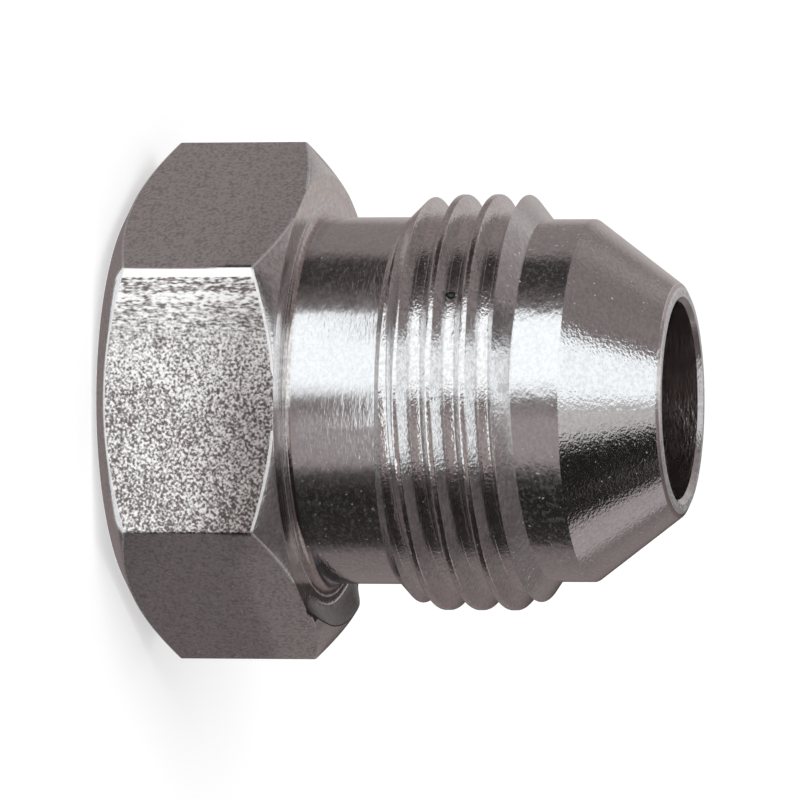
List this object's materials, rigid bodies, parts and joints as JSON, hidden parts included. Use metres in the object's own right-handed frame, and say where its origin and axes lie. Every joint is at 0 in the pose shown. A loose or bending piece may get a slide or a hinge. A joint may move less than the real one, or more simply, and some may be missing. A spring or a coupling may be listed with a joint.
{
  "type": "hydraulic plug",
  "caption": "Zinc-plated steel flare plug: hex head, plain neck, male thread, and a cone nose with a blind bore in its rim.",
  "frame": {"origin": "centre of the hex head's back face, which the plug stands on", "axes": "+Z along the plug's axis from the hex head to the nose; two opposite hex flats face -Y and +Y, two opposite corners point along -X and +X"},
  "size_m": [0.0278, 0.024, 0.0292],
  "materials": {
    "zinc_steel": "turned steel with clear zinc plating, matt grain on the hex flats"
  },
  "bodies": {
    "root": {"plug_body": "zinc_steel"}
  },
  "joints": []
}
